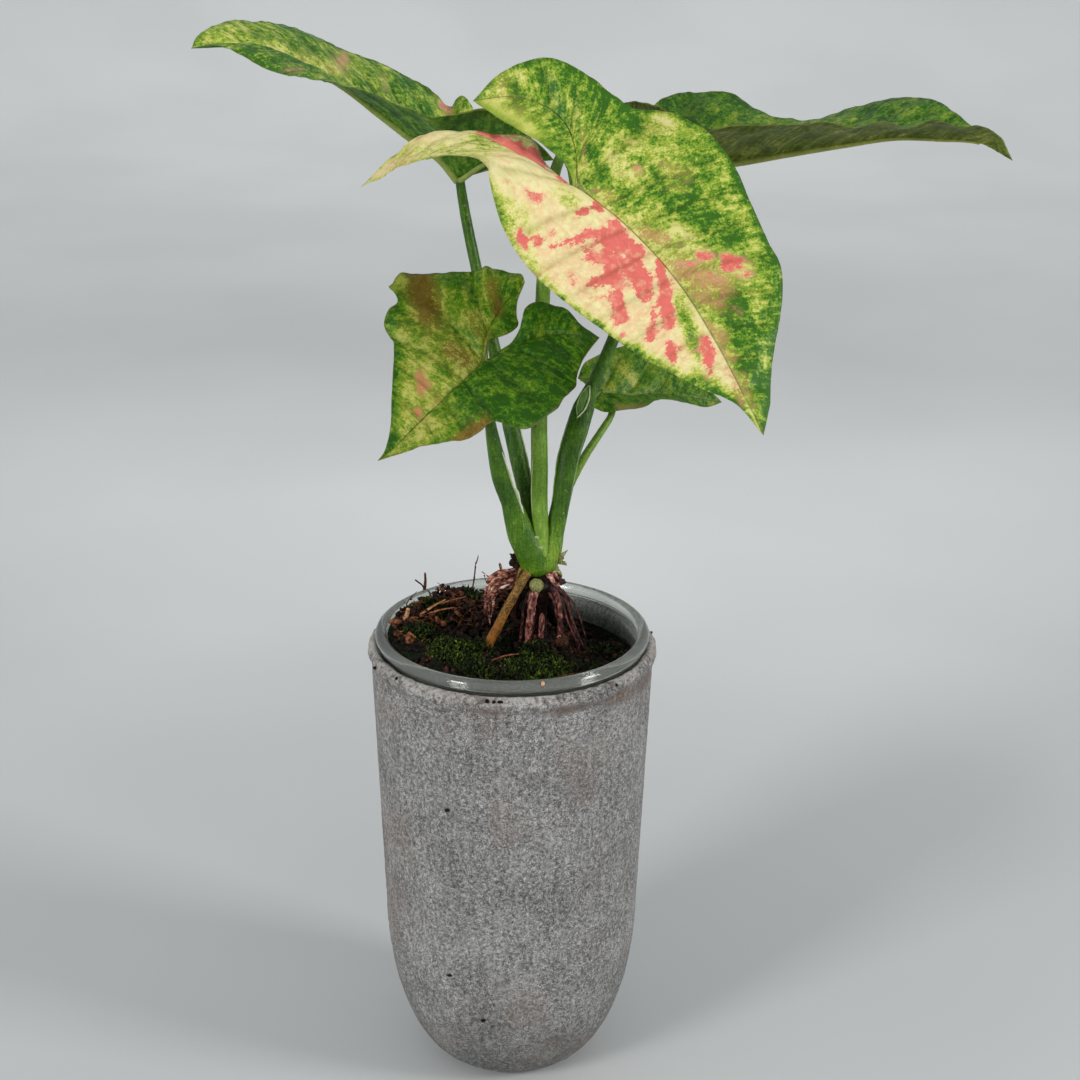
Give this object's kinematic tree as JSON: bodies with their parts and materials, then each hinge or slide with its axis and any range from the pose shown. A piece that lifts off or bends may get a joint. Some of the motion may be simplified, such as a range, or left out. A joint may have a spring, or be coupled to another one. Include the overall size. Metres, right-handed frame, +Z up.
{
  "type": "potted arrowhead plant",
  "caption": "Young arrowhead plant with mottled arrow-shaped leaves, in a clear growing cup set in a rough grey tapered pot with a rounded bottom.",
  "frame": {"origin": "centre of the flat foot under the outer pot", "axes": "+Z up along the pot's axis, -Y towards the viewer, where the large pink and cream blade leans; +X to the viewer's right"},
  "size_m": [0.2232, 0.1156, 0.3109],
  "materials": {
    "pot_outer": "rough, cement-like",
    "cup_clear": "clear, slightly green plastic",
    "potting_mix": "loose, fibrous",
    "root_base": "dull, pinkish brown",
    "aerial_root": "ochre, slightly rough",
    "stem_crown": "green, satin",
    "side_bud": "green, satin",
    "old_sheath": "papery, dull",
    "stalk_front": "light green, satin",
    "stalk_upper_left": "dark green, satin",
    "stalk_upper_right": "dark green, satin",
    "stalk_lower_left": "dark green, satin",
    "stalk_lower_right": "light green, satin",
    "leaf_front": "satin, cream with pink and lime",
    "leaf_upper_left": "satin, mottled green",
    "leaf_upper_right": "satin, mottled green",
    "leaf_lower_left": "satin, olive with lime",
    "leaf_lower_right": "satin, dark green with lime"
  },
  "bodies": {
    "root": {"pot_outer": "pot_outer", "cup_clear": "cup_clear", "potting_mix": "potting_mix", "root_base": "root_base", "aerial_root": "aerial_root", "stem_crown": "stem_crown", "side_bud": "side_bud", "old_sheath": "old_sheath", "stalk_front": "stalk_front", "stalk_upper_left": "stalk_upper_left", "stalk_upper_right": "stalk_upper_right", "stalk_lower_left": "stalk_lower_left", "stalk_lower_right": "stalk_lower_right", "leaf_front": "leaf_front", "leaf_upper_left": "leaf_upper_left", "leaf_upper_right": "leaf_upper_right", "leaf_lower_left": "leaf_lower_left", "leaf_lower_right": "leaf_lower_right"}
  },
  "joints": []
}
